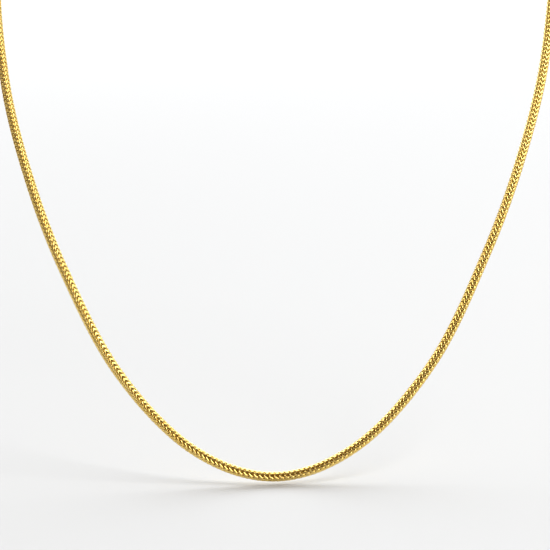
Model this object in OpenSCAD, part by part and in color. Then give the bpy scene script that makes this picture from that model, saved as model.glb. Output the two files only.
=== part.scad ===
// Wheat chain necklace in yellow gold, closed, in the form in which it hangs round a neck.
// The origin is at the nape, +Z is up, the front of the neck faces -Y, and sizes are in millimetres.
// Each half of the woven chain is one slim tube here, as wide as the weave of small links.

/* [Chain] */
// Width of the woven chain, from one row of chevrons to the opposite one
chain_w = 2.1; // [1.9:0.1:2.3]
// Space between the two halves of the chain at the front
front_gap = 0.1; // [0.05:0.05:0.3]

/* [End caps] */
// Outer diameter of a cap
cap_d = 3.2; // [3.2:0.1:4]
// Length of a cap without its eye
cap_len = 4; // [3.5:0.25:6]
// Diameter of the socket that holds the end of the chain
socket_d = 2.5; // [2.4:0.05:2.6]
// Depth of the socket
socket_depth = 1.5; // [1:0.25:2]

/* [Rings and eyes] */
// Wire of a jump ring
ring_wire = 0.8; // [0.6:0.1:0.9]
// Diameter of a jump ring, from wire centre to wire centre
ring_d = 3.8; // [3.7:0.1:4.2]
// Wire of the eyes on the caps and on the clasp
eye_wire = 0.8; // [0.6:0.1:0.8]
// Diameter of an eye, from wire centre to wire centre
eye_d = 2.4; // [2.3:0.1:2.6]

/* [Clasp] */
// Length of the clasp's body, without its eye
clasp_len = 11.4; // [10:0.2:12]
// Width of the clasp at its wide end
clasp_w = 5.8; // [5.2:0.2:7]
// Thickness of the clasp
clasp_t = 1.6; // [1.2:0.1:1.6]
// Width of metal around the clasp's opening, at its wide end
clasp_rim = 1.2; // [1:0.1:1.4]

/* [Hidden] */

// Half of the chain's centreline, from its lowest point at the front to its end in the cap
ROUTE = [
    [0, -92, -132.5],
    [17, -89.5, -127],
    [32.5, -82.5, -112],
    [44, -73, -92],
    [52, -62.5, -74],
    [58, -50.5, -55],
    [61, -36.5, -33],
    [58, -24, -19.5],
    [48, -11.5, -8.5],
    [32.5, -3, -2],
    [13, 0, 0]
];
LAST = len(ROUTE) - 1;

// The tube has eight sides, and a ring of corners about every 6 mm
TUBE_SIDES = 8;
RING_STEP = 6;
tube_r = 1.04 * chain_w / 2;
// The tube's rings are turned against the loop's own plane, whose upright is this direction
LOOP_NORMAL = [0, 0.82, -0.57];

// Where things sit along X at the back, worked out inwards from the end of the chain
socket_floor_x = ROUTE[LAST][0] - 0.1;
cap_face_x = socket_floor_x + socket_depth - cap_len;
eye_x = cap_face_x + 0.15 - eye_d / 2;
// A ring hangs a little short of the middle of the eye that it pulls on
slack = 0.25;
ring_x = eye_x - slack - ring_d / 2;
clasp_eye_x = ring_x - ring_d / 2 - slack;
// The clasp's rim lies inside the other ring, this far from the ring's centre at most
rim_reach = 1.1;
rim_inner_x = rim_reach - ring_x;
clasp_end_x = rim_inner_x - clasp_rim;

cap_shoulder = 0.8;
cap_face_d = 2.2;
clasp_tip_r = 1.3;
clasp_chamfer = 0.3;
// The thumb tab stands on the clasp's upper edge, back from its narrow end
tab_d = 1.6;
tab_back = 2.4;
tab_up = 2;
opening_tip_r = 0.6;
opening_back = 3;
GOLD = "#E3B04B";
$fn = 48;

function unit(v) = v / norm(v);

// The route with a mirrored neighbour past each end, so that both ends run level along X
function past(p, q) = [2 * p[0] - q[0], q[1], q[2]];
PATH = concat([past(ROUTE[0], ROUTE[1])], ROUTE, [past(ROUTE[LAST], ROUTE[LAST - 1])]);

// A smooth curve through the route: its place and its direction, at share t of span i
function place(i, t) = let(a = PATH[i], b = PATH[i + 1], c = PATH[i + 2], d = PATH[i + 3])
    (2 * b + (c - a) * t + (2 * a - 5 * b + 4 * c - d) * t ^ 2 + (3 * b - a - 3 * c + d) * t ^ 3) / 2;
function heading(i, t) = let(a = PATH[i], b = PATH[i + 1], c = PATH[i + 2], d = PATH[i + 3])
    unit((c - a) + 2 * (2 * a - 5 * b + 4 * c - d) * t + 3 * (3 * b - a - 3 * c + d) * t ^ 2);

function steps(i) = round(norm(ROUTE[i + 1] - ROUTE[i]) / RING_STEP);
STATIONS = concat(
    [for (i = [0 : LAST - 1]) for (k = [0 : steps(i) - 1]) [i, k / steps(i)]],
    [[LAST - 1, 1]]
);

// One ring of corners around the centreline
function ring(centre, along) = let(u = unit(cross(LOOP_NORMAL, along)), v = cross(along, u))
    [for (k = [0 : TUBE_SIDES - 1]) let(turn = 360 * k / TUBE_SIDES)
        centre + tube_r * (cos(turn) * u + sin(turn) * v)];

// Half of the chain, swept from the front to the cap
module chain_half() {
    rings = len(STATIONS);
    corners = [for (n = [0 : rings - 1]) let(s = STATIONS[n])
        each ring(place(s[0], s[1]) + [n == 0 ? front_gap / 2 : 0, 0, 0], heading(s[0], s[1]))];
    sides = [for (n = [0 : rings - 2]) for (k = [0 : TUBE_SIDES - 1])
        let(a = n * TUBE_SIDES + k, b = n * TUBE_SIDES + (k + 1) % TUBE_SIDES)
        [a, a + TUBE_SIDES, b + TUBE_SIDES, b]];
    front = [for (k = [0 : TUBE_SIDES - 1]) k];
    back = [for (k = [TUBE_SIDES - 1 : -1 : 0]) (rings - 1) * TUBE_SIDES + k];
    polyhedron(points = corners, faces = concat(sides, [front], [back]), convexity = 10);
}

module chain_right() {
    color(GOLD) chain_half();
}

module chain_left() {
    color(GOLD) mirror([1, 0, 0]) chain_half();
}

// A round wire bent into a closed ring about Z
module wire_ring(d, wire) {
    rotate_extrude() translate([d / 2, 0]) circle(d = wire);
}

// A closed ring of wire whose hole faces the neck
module eye(x) {
    translate([x, 0, 0]) rotate([90, 0, 0]) wire_ring(eye_d, eye_wire);
}

// Cap with its socket towards the chain and its eye, soldered on, towards the clasp
module end_cap() {
    profile = [
        [0, 0],
        [cap_face_d / 2, 0],
        [cap_d / 2, cap_shoulder],
        [cap_d / 2, cap_len],
        [socket_d / 2, cap_len],
        [socket_d / 2, cap_len - socket_depth],
        [0, cap_len - socket_depth]
    ];
    translate([cap_face_x, 0, 0]) rotate([0, 90, 0]) rotate_extrude() polygon(profile);
    eye(eye_x);
}

module end_cap_right() {
    color(GOLD) end_cap();
}

module end_cap_left() {
    color(GOLD) mirror([1, 0, 0]) end_cap();
}

// Jump rings lie level, through the eyes
module jump_ring_right() {
    color(GOLD) translate([ring_x, 0, 0]) wire_ring(ring_d, ring_wire);
}

module jump_ring_left() {
    color(GOLD) translate([-ring_x, 0, 0]) wire_ring(ring_d, ring_wire);
}

// Drop outline from a wide round end to a narrow one, as a plate that stands in the XZ plane
module drop_plate(wide_r, wide_x, tip_r, tip_x, thick) {
    rotate([90, 0, 0]) linear_extrude(thick, center = true) hull() {
        translate([wide_x, 0]) circle(wide_r);
        translate([tip_x, 0]) circle(tip_r);
    }
}

// Lobster clasp, closed, as one plain piece with its thumb tab and its eye
module clasp_body() {
    wide_x = clasp_end_x + clasp_w / 2;
    tip_x = clasp_end_x + clasp_len - clasp_tip_r;
    opening_r = clasp_w / 2 - clasp_rim;
    difference() {
        union() {
            drop_plate(clasp_w / 2, wide_x, clasp_tip_r, tip_x, clasp_t - 2 * clasp_chamfer);
            drop_plate(clasp_w / 2 - clasp_chamfer, wide_x, clasp_tip_r - clasp_chamfer, tip_x, clasp_t);
            translate([tip_x - tab_back, 0, tab_up]) rotate([90, 0, 0])
                cylinder(h = clasp_t - 0.4, d = tab_d, center = true);
        }
        drop_plate(opening_r, wide_x, opening_tip_r, tip_x - opening_back, clasp_t + 1);
    }
    eye(clasp_eye_x);
}

module clasp() {
    color(GOLD) clasp_body();
}

chain_left();
chain_right();
end_cap_left();
end_cap_right();
jump_ring_left();
jump_ring_right();
clasp();
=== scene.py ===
# %% [markdown]
# # A wheat chain necklace in yellow gold
# This file dresses a rigid model of a necklace. In that model each half of the chain is one
# plain tube. Here the tubes give way to the real weave, which is 824 small links that pass
# through each other, and the caps, rings and clasp get their gold. The model comes in as a
# fixed frame: nothing in it is moved or resized, so whatever is added sits right at once.

# %% Load the frame
import math
from bisect import bisect_right
import bpy
from mathutils import Matrix, Quaternion, Vector


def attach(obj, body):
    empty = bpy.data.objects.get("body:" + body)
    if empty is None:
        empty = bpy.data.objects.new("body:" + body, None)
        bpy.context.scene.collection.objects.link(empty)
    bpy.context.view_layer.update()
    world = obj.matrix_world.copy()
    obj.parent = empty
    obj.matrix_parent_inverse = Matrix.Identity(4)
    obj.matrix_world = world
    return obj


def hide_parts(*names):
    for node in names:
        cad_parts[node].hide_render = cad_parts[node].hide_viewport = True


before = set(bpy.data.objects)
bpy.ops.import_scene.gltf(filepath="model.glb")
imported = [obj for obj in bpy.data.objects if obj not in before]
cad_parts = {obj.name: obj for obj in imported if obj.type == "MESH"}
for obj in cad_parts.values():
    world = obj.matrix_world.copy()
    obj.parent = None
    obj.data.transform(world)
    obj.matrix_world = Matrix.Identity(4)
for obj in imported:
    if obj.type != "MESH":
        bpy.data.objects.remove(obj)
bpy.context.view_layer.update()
print("nodes:", ", ".join(sorted(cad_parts)))

# %% [markdown]
# ## The camera
# The camera comes first, because the weave is later turned to face it, as the real chain
# happens to face its viewer. It stands a little to the right of the middle and a little
# above the front of the loop, and it is rolled by three degrees. A long lens from nearly
# half a metre keeps the two arms of the chain almost free of perspective.

# %% Camera
AIM = Vector((0.00136, -0.0850, -0.0922))
CAMERA_DISTANCE = 0.432
TURN = math.radians(5)
RISE = math.radians(12)
ROLL = math.radians(-3)

towards_camera = Vector((
    math.sin(TURN) * math.cos(RISE),
    -math.cos(TURN) * math.cos(RISE),
    math.sin(RISE),
))
camera_place = AIM + CAMERA_DISTANCE * towards_camera
looking = (-towards_camera).to_track_quat("-Z", "Y") @ Quaternion((0, 0, 1), ROLL)
bpy.ops.object.camera_add(location=camera_place, rotation=looking.to_euler())
camera = bpy.context.object
camera.name = "camera"
camera.data.lens = 140
camera.data.clip_start = 0.01
bpy.context.scene.camera = camera
print("camera at", [round(v, 4) for v in camera_place])

# %% [markdown]
# ## The floor
# A necklace keeps its hanging form only while something holds it up, so it hangs here just
# clear of a large pale floor. A big plane is enough, since only its colour shows. It is a
# mid grey and not white: under lamps that make the gold shine it comes out nearly white.

# %% Floor
FLOOR_Z = -0.1341
FLOOR_SIZE = 8
FLOOR_MIDDLE_Y = 1.5


def deselect():
    for thing in list(bpy.context.selected_objects):
        thing.select_set(False)


deselect()
bpy.ops.mesh.primitive_plane_add(size=FLOOR_SIZE, location=(0, FLOOR_MIDDLE_Y, FLOOR_Z))
floor = bpy.context.object
floor.name = "floor"

floor_paint = bpy.data.materials.new("floor_paint")
floor_paint.use_nodes = True
paint_shader = floor_paint.node_tree.nodes["Principled BSDF"]
paint_shader.inputs["Base Color"].default_value = (0.61, 0.63, 0.65, 1)
paint_shader.inputs["Roughness"].default_value = 0.9
floor.data.materials.append(floor_paint)
print("floor", FLOOR_SIZE, "m wide at z", FLOOR_Z)

# %% [markdown]
# ## The daylight
# Polished gold has hardly any look of its own: it shows what stands round it. A room that
# is white all round would turn the weave into a smooth cream rope. So the sky is nearly
# white behind the necklace and falls off to a dark warm brown in front of it, above and to
# the left. The wires mirror both, which draws the dark lines between them. The fall-off is
# a dot product with one direction, which a colour ramp turns into three tones.

# %% Daylight
DARK_SIDE = (-0.32, -0.83, 0.42)
DARK_FROM = -0.1
DARK_TO = 0.92
BEHIND_TONE = (1.1, 1.11, 1.13, 1)
MIDDLE_TONE = (0.43, 0.355, 0.265, 1)
FRONT_TONE = (0.09, 0.043, 0.011, 1)

sky = bpy.data.worlds.new("studio")
sky.use_nodes = True
bpy.context.scene.world = sky
sky_nodes = sky.node_tree.nodes
sky_links = sky.node_tree.links

sky_direction = sky_nodes.new("ShaderNodeTexCoord")
facing_dark = sky_nodes.new("ShaderNodeVectorMath")
facing_dark.operation = "DOT_PRODUCT"
facing_dark.inputs[1].default_value = DARK_SIDE
sky_links.new(sky_direction.outputs["Generated"], facing_dark.inputs[0])

fall_off = sky_nodes.new("ShaderNodeMapRange")
fall_off.inputs["From Min"].default_value = DARK_FROM
fall_off.inputs["From Max"].default_value = DARK_TO
sky_links.new(facing_dark.outputs["Value"], fall_off.inputs["Value"])

tones = sky_nodes.new("ShaderNodeValToRGB")
tones.color_ramp.interpolation = "EASE"
tones.color_ramp.elements[0].color = BEHIND_TONE
tones.color_ramp.elements[1].color = FRONT_TONE
middle = tones.color_ramp.elements.new(0.5)
middle.color = MIDDLE_TONE
sky_links.new(fall_off.outputs["Result"], tones.inputs["Fac"])
sky_links.new(tones.outputs["Color"], sky_nodes["Background"].inputs["Color"])
print("sky made, darkest towards", DARK_SIDE)

# %% [markdown]
# ## The lamps
# Two area lamps stand in for soft boxes. A half metre key lamp at the upper right gives each
# wire its small bright highlight. A wide lamp far behind lights the floor evenly and
# outlines the chain's upper edges, and its width keeps the shadows soft.

# %% Lamps
def add_lamp(name, place, size, power, colour):
    place = Vector(place)
    turn = (AIM - place).to_track_quat("-Z", "Y").to_euler()
    bpy.ops.object.light_add(type="AREA", location=place, rotation=turn)
    lamp = bpy.context.object
    lamp.name = name
    lamp.data.shape = "RECTANGLE"
    lamp.data.size = size[0]
    lamp.data.size_y = size[1]
    lamp.data.energy = power
    lamp.data.color = colour
    print(name, power, "W")


add_lamp("key_lamp", (0.6, -0.3, 0.75), (0.5, 0.5), 5.5, (1.0, 0.99, 0.97))
add_lamp("back_lamp", (0.0, 1.7, 1.3), (2.6, 1.6), 49, (1.0, 1.0, 1.0))

bpy.context.scene.view_settings.view_transform = "Standard"
bpy.context.scene.view_settings.look = "None"

# %% [markdown]
# ## The gold
# One alloy is used all over, with two finishes. Metal takes its colour from its reflections,
# so the base colour is the gold itself and Metallic is 1. Real gold is never perfectly even:
# a slow noise shifts its colour a little, and a fine noise gives the haze and the faint marks
# that handling leaves. The drawn wire has finer marks and more haze than the caps and clasp.

# %% Gold
NOISE_LOW = 0.3
NOISE_HIGH = 0.7
GRAINS_PER_CLOUD = 6
MARK_DEPTH = 0.00002


def make_gold(name, colour, deep_colour, roughness, grain_scale, marks):
    gold = bpy.data.materials.new(name)
    gold.use_nodes = True
    nodes = gold.node_tree.nodes
    links = gold.node_tree.links
    shader = nodes["Principled BSDF"]
    shader.inputs["Metallic"].default_value = 1.0

    where = nodes.new("ShaderNodeTexCoord")
    clouds = nodes.new("ShaderNodeTexNoise")
    clouds.inputs["Scale"].default_value = grain_scale / GRAINS_PER_CLOUD
    clouds.inputs["Detail"].default_value = 3
    links.new(where.outputs["Object"], clouds.inputs["Vector"])

    tint = nodes.new("ShaderNodeValToRGB")
    tint.color_ramp.elements[0].position = NOISE_LOW
    tint.color_ramp.elements[0].color = (*deep_colour, 1)
    tint.color_ramp.elements[1].position = NOISE_HIGH
    tint.color_ramp.elements[1].color = (*colour, 1)
    links.new(clouds.outputs["Fac"], tint.inputs["Fac"])
    links.new(tint.outputs["Color"], shader.inputs["Base Color"])

    grain = nodes.new("ShaderNodeTexNoise")
    grain.inputs["Scale"].default_value = grain_scale
    grain.inputs["Detail"].default_value = 4
    links.new(where.outputs["Object"], grain.inputs["Vector"])

    haze = nodes.new("ShaderNodeMapRange")
    haze.inputs["From Min"].default_value = NOISE_LOW
    haze.inputs["From Max"].default_value = NOISE_HIGH
    haze.inputs["To Min"].default_value = roughness[0]
    haze.inputs["To Max"].default_value = roughness[1]
    links.new(grain.outputs["Fac"], haze.inputs["Value"])
    links.new(haze.outputs["Result"], shader.inputs["Roughness"])

    relief = nodes.new("ShaderNodeBump")
    relief.inputs["Strength"].default_value = marks
    relief.inputs["Distance"].default_value = MARK_DEPTH
    links.new(grain.outputs["Fac"], relief.inputs["Height"])
    links.new(relief.outputs["Normal"], shader.inputs["Normal"])
    print(name, "made")
    return gold


wire_gold = make_gold(
    "wire_gold",
    colour=(0.97, 0.73, 0.25),
    deep_colour=(0.93, 0.66, 0.18),
    roughness=(0.16, 0.26),
    grain_scale=2500,
    marks=0.25,
)
polished_gold = make_gold(
    "polished_gold",
    colour=(0.96, 0.73, 0.28),
    deep_colour=(0.92, 0.66, 0.21),
    roughness=(0.10, 0.22),
    grain_scale=900,
    marks=0.2,
)

# %% [markdown]
# ## The line of the chain
# The links follow the line that the rigid model's tubes follow, so its points are repeated
# here in metres, from the lowest point at the front to the socket of the cap. The left half
# is their mirror image. A Catmull-Rom curve passes through every point without a kink, and
# a mirrored neighbour past each end makes the chain enter its caps straight.

# %% Route
HALF_ROUTE = [
    (0.0000, -0.0920, -0.1325),
    (0.0170, -0.0895, -0.1270),
    (0.0325, -0.0825, -0.1120),
    (0.0440, -0.0730, -0.0920),
    (0.0520, -0.0625, -0.0740),
    (0.0580, -0.0505, -0.0550),
    (0.0610, -0.0365, -0.0330),
    (0.0580, -0.0240, -0.0195),
    (0.0480, -0.0115, -0.0085),
    (0.0325, -0.0030, -0.0020),
    (0.0130, 0.0000, 0.0000),
]
right_arm = [Vector(point) for point in HALF_ROUTE]
left_arm = [Vector((-point.x, point.y, point.z)) for point in reversed(right_arm[1:])]
route = left_arm + right_arm


def mirrored_past(end, neighbour):
    return Vector((2 * end.x - neighbour.x, neighbour.y, neighbour.z))


past_left = mirrored_past(route[0], route[1])
past_right = mirrored_past(route[-1], route[-2])
padded_route = [past_left] + route + [past_right]


def route_point(span, share):
    a, b, c, d = padded_route[span:span + 4]
    bend = (2 * a - 5 * b + 4 * c - d) * share ** 2
    twist = (3 * b - a - 3 * c + d) * share ** 3
    return (2 * b + (c - a) * share + bend + twist) / 2


print("route of", len(route), "points")

# %% [markdown]
# ## Measuring along the chain
# Links are set at equal distances, but a curve's own share runs faster where its points lie
# further apart. So the curve is cut into short steps, their lengths are added up, and a
# place at any distance is looked up between two of those steps.

# %% Distances
STEPS_PER_SPAN = 60
line = [
    route_point(span, step / STEPS_PER_SPAN)
    for span in range(len(route) - 1)
    for step in range(STEPS_PER_SPAN)
]
line.append(route[-1])
distances = [0.0]
for before, after in zip(line, line[1:]):
    distances.append(distances[-1] + (after - before).length)
chain_length = distances[-1]


def along(distance):
    step = bisect_right(distances, distance) - 1
    step = max(0, min(step, len(distances) - 2))
    share = (distance - distances[step]) / (distances[step + 1] - distances[step])
    return line[step].lerp(line[step + 1], share)


print("chain length", round(chain_length * 1000, 1), "mm")

# %% [markdown]
# ## The line of one link
# A wheat link is an oval ring of wire, pinched in the middle and folded over, so that each
# of its two folds opens into a V. It can be drawn as a closed line of sixteen corners: two
# folds, two round ends, and one leg of three corners that is mirrored to four places. A
# circle of sixteen corners is the start, and each corner is then moved to its place. All
# sizes are in pitches, the distance from one V to the next, so one value scales the weave.

# %% Link line
PITCH = 0.00104
# Each corner is given across the V, to the side of it, and along the chain
LINK_FOLD = (0.69, 0.00, 0.00)
LEG = [
    (0.69, 0.33, 0.58),
    (0.58, 0.58, 1.00),
    (0.36, 0.26, 1.26),
]
LINK_END = (0.00, 0.19, 1.66)
LINK_MIDDLE = 0.80


def mirrored(points, across_sign, side_sign):
    return [Vector((across_sign * x, side_sign * y, z)) for x, y, z in points]


leg_back = list(reversed(LEG))
corners = mirrored([LINK_FOLD] + LEG + [LINK_END], 1, 1)
corners += mirrored(leg_back + [LINK_FOLD], -1, 1)
corners += mirrored(LEG + [LINK_END], -1, -1)
corners += mirrored(leg_back, 1, -1)

deselect()
bpy.ops.mesh.primitive_circle_add(vertices=len(corners), radius=PITCH)
link = bpy.context.object
link.name = "link"
for vertex, corner in zip(link.data.vertices, corners):
    vertex.co = (corner - Vector((0, 0, LINK_MIDDLE))) * PITCH
print("link line with", len(corners), "corners")

# %% [markdown]
# ## The wire of the link
# Turned into a curve, the line gets its round wire from the curve's bevel. Resolution 1
# gives six sides, which is plenty for half a millimetre and keeps a link at 96 faces. That
# matters, because the weave repeats it 824 times. The wire is drawn a little stouter than
# the real one, so that the rows close up, and inside the weave neighbours sink slightly
# into each other where nobody sees it.

# %% Link wire
WIRE = 0.46 * PITCH

bpy.ops.object.convert(target="CURVE")
link.data.bevel_depth = WIRE / 2
link.data.bevel_resolution = 1
bpy.ops.object.convert(target="MESH")
print("link faces", len(link.data.polygons), "size", [round(v * 1000, 2) for v in link.dimensions])

# %% [markdown]
# ## The points of the Vs
# A bevel keeps its round section also at a sharp corner, so it is too short there along the
# chain, and dark gaps would show between one V and the next. Each fold's ring of corners is
# therefore selected by its place and stretched along the chain, to a full mitred point.

# %% Link folds
FOLD_STRETCH = 2.0
ON_THE_FOLD = PITCH / 100
fold_height = -LINK_MIDDLE * PITCH

bpy.ops.object.mode_set(mode="EDIT")
bpy.ops.mesh.select_all(action="DESELECT")
bpy.ops.object.mode_set(mode="OBJECT")
for vertex in link.data.vertices:
    vertex.select = abs(vertex.co.y) < ON_THE_FOLD and vertex.co.z < 0
print("corners at the folds", sum(vertex.select for vertex in link.data.vertices))
bpy.ops.object.mode_set(mode="EDIT")
bpy.ops.transform.resize(value=(1, 1, FOLD_STRETCH), center_override=(0, 0, fold_height))
bpy.ops.object.mode_set(mode="OBJECT")
bpy.ops.object.shade_smooth()

# %% [markdown]
# ## How the rows of Vs face
# The weave has four rows of Vs, a quarter turn apart, and a hanging chain twists a little on
# its way. An array along a curve would leave that twist to Blender. Here each link gets its
# own direction: square to the line and facing the camera, then turned by an angle that a
# short table gives, eased from row to row.

# %% Facing
# Distance from the lowest point in metres, turn away from the camera in degrees
ROLLS = [
    (-0.215, 40),
    (-0.090, 40),
    (-0.057, 30),
    (-0.040, 18),
    (-0.020, 12),
    (0.000, 12),
    (0.018, 6),
    (0.059, 0),
    (0.076, -5),
    (0.094, -22),
    (0.215, -24),
]


def roll_at(distance):
    for (start, roll), (stop, next_roll) in zip(ROLLS, ROLLS[1:]):
        if distance <= stop:
            share = max(0.0, (distance - start) / (stop - start))
            ease = share * share * (3 - 2 * share)
            return math.radians(roll + (next_roll - roll) * ease)
    return math.radians(ROLLS[-1][1])


print("turn at the lowest point", round(math.degrees(roll_at(0.0))), "degrees")

# %% [markdown]
# ## Where each link goes
# Every link sits half a pitch after the one before. Every second one is also turned by a
# quarter turn, and that is the whole weave: the two kinds of link pass through each other.
# A matrix of three directions and a place says where a link goes.

# %% Link places
LINKS_PER_HALF = 412
STEP = PITCH / 2


def link_turn(number):
    from_lowest = (number - LINKS_PER_HALF + 0.5) * STEP
    distance = chain_length / 2 + from_lowest
    place = along(distance)
    ahead = (along(distance + STEP / 2) - along(distance - STEP / 2)).normalized()
    front = camera_place - place
    front = (front - front.dot(ahead) * ahead).normalized()
    inner = front.cross(ahead)
    roll = roll_at(from_lowest)
    across = math.cos(roll) * front + math.sin(roll) * inner
    if number % 2:
        across = ahead.cross(across)
    side = ahead.cross(across)
    turn = Matrix((across, side, ahead)).transposed().to_4x4()
    return Matrix.Translation(place) @ turn


print("woven length", round(2 * LINKS_PER_HALF * STEP * 1000, 1), "mm")

# %% [markdown]
# ## Weaving
# The link is copied 412 times for each half, each copy with its own mesh, which takes its
# place directly. Join then makes one object of each half. The two halves meet at the lowest
# point, as the tubes do that they replace, and the first link has then done its work.

# %% Weave
def weave(name, first, last):
    copies = []
    for number in range(first, last):
        mesh = link.data.copy()
        mesh.transform(link_turn(number))
        copy = bpy.data.objects.new(name, mesh)
        bpy.context.collection.objects.link(copy)
        copies.append(copy)
    deselect()
    for copy in copies:
        copy.select_set(True)
    bpy.context.view_layer.objects.active = copies[0]
    bpy.ops.object.join()
    chain = bpy.context.object
    chain.name = name
    chain.data.materials.clear()
    chain.data.materials.append(wire_gold)
    print(name, len(copies), "links,", len(chain.data.polygons), "faces")
    return chain


woven_left = weave("woven_chain_left", 0, LINKS_PER_HALF)
woven_right = weave("woven_chain_right", LINKS_PER_HALF, 2 * LINKS_PER_HALF)
bpy.data.objects.remove(link)

# %% [markdown]
# ## Joining the frame
# Each woven half rides on the rigid body and hides the tube that it replaces.

# %% Chain in the frame
for chain, node in ((woven_left, "chain_left"), (woven_right, "chain_right")):
    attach(chain, "root")
    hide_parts(node)
    print(chain.name, "replaces", node)

# %% [markdown]
# ## Caps, rings and clasp
# These are plain turned and cast pieces, and their shapes in the frame are right already.
# They keep their meshes and only get the polished gold in their material slots.

# %% Findings
FINDINGS = ["end_cap_left", "end_cap_right", "jump_ring_left", "jump_ring_right", "clasp"]
for name in FINDINGS:
    finding = bpy.data.objects[name]
    for slot in finding.material_slots:
        slot.material = polished_gold
    print(name, len(finding.data.polygons), "faces")
